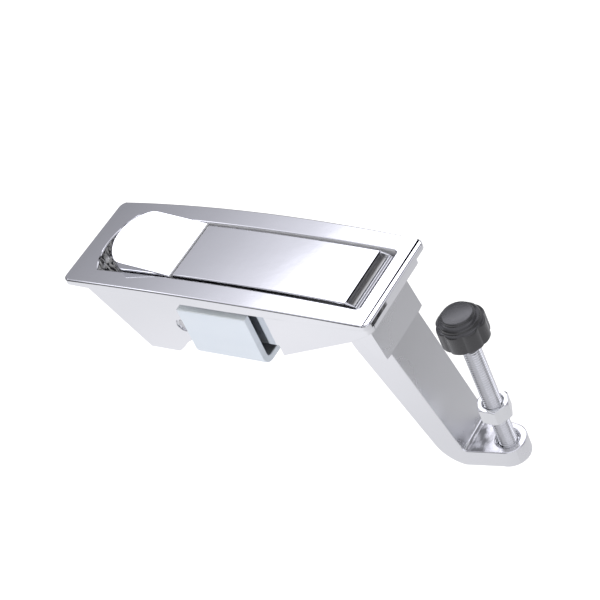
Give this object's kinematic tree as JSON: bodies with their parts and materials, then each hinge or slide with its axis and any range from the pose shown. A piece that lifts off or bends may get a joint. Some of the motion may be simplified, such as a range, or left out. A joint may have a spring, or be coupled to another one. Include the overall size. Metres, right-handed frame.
{
  "type": "pushbutton compression latch",
  "caption": "Flush pushbutton latch: pressing the button frees a flush lever whose arm swings back and lets go of a rubber-tipped adjusting screw.",
  "frame": {"origin": "middle of the panel cutout, on the back plane of the flange", "axes": "+X along the length from the button to the arm, +Y across, +Z out of the panel towards the user"},
  "size_m": [0.1204, 0.033, 0.0668],
  "materials": {
    "chrome": "bright chrome on a zinc casting",
    "pin_steel": "plain ground steel",
    "spring_steel": "drawn spring wire",
    "bracket_steel": "pale blue zinc plate",
    "screw_steel": "bright zinc plate",
    "black_rubber": "satin black moulded rubber"
  },
  "bodies": {
    "housing": {"housing": "chrome", "lever_pin": "pin_steel", "button_pin": "pin_steel"},
    "lever": {"lever": "chrome"},
    "button": {"button": "chrome", "button_spring": "spring_steel"},
    "clamp": {"clamp_bracket": "bracket_steel"},
    "clamp_screw": {"clamp_screw": "screw_steel", "spring_washer": "spring_steel"},
    "adjuster": {"adjuster_stud": "screw_steel"},
    "bumper": {"bumper": "black_rubber", "adjuster_head": "screw_steel"},
    "lock_nut": {"lock_nut": "screw_steel"}
  },
  "joints": [
    {"name": "lever_hinge", "type": "hinge", "parent": "housing", "child": "lever", "pos_m": [0.0406, 0, -0.0016], "axis": [0, 1, 0], "range_deg": [0, 50]},
    {"name": "button_hinge", "type": "hinge", "parent": "housing", "child": "button", "pos_m": [-0.0157, 0, -0.0122], "axis": [0, -1, 0], "range_deg": [0, 10], "stiffness_Nm_per_rad": 0.5, "springref_deg": -20.05, "deforming": ["button_spring"]},
    {"name": "clamp_travel", "type": "slide", "parent": "housing", "child": "clamp", "axis": [0, 0, 1], "range_m": [-0.0025, 0.001]},
    {"name": "clamp_screw_turn", "type": "hinge", "parent": "clamp", "child": "clamp_screw", "pos_m": [-0.0001, 0, -0.0196], "axis": [0, 0, 1], "range_deg": [-1125, 450]},
    {"name": "adjuster_travel", "type": "slide", "parent": "lever", "child": "adjuster", "axis": [0, 0, 1], "range_m": [-0.016, 0.002]},
    {"name": "adjuster_turn", "type": "hinge", "parent": "adjuster", "child": "bumper", "pos_m": [0.0643, 0, -0.0146], "axis": [0, 0, 1], "range_deg": [-7200, 900]},
    {"name": "lock_nut_travel", "type": "slide", "parent": "lever", "child": "lock_nut", "axis": [0, 0, 1], "range_m": [-0.009, 0.005]}
  ],
  "couplings": [
    {"joint": "clamp_screw_turn", "follows": "clamp_travel", "rad_per_m": 7850},
    {"joint": "adjuster_turn", "follows": "adjuster_travel", "rad_per_m": 7850}
  ]
}
